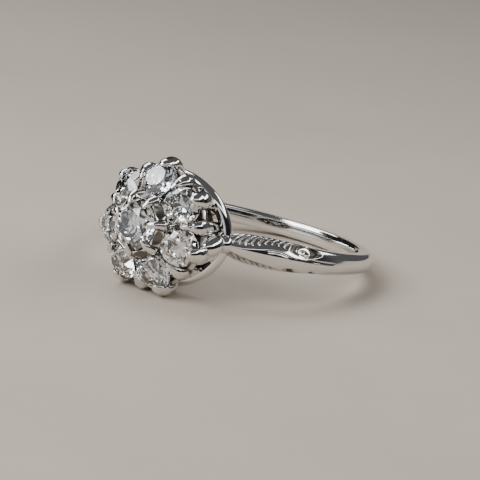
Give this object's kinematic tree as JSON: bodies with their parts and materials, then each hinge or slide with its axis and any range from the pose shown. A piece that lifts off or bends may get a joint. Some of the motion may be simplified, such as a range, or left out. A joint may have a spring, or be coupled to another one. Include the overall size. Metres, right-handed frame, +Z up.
{
  "type": "cluster ring",
  "caption": "Finger ring with a raised cluster of round stones, fluted claws, a draped gallery wire and scroll-carved shoulders on a plain band.",
  "frame": {"origin": "middle of the ring's footprint, on the surface that it lies on", "axes": "+Z up from that surface, -X towards the head, -Y towards the near shoulder"},
  "size_m": [0.0232, 0.0196, 0.0102],
  "materials": {
    "platinum": "polished",
    "diamond": "faceted and polished"
  },
  "bodies": {
    "root": {"ring_mount": "platinum", "centre_stone": "diamond", "outer_stone_1": "diamond", "outer_stone_2": "diamond", "outer_stone_3": "diamond", "outer_stone_4": "diamond", "outer_stone_5": "diamond", "outer_stone_6": "diamond", "outer_stone_7": "diamond"}
  },
  "joints": []
}
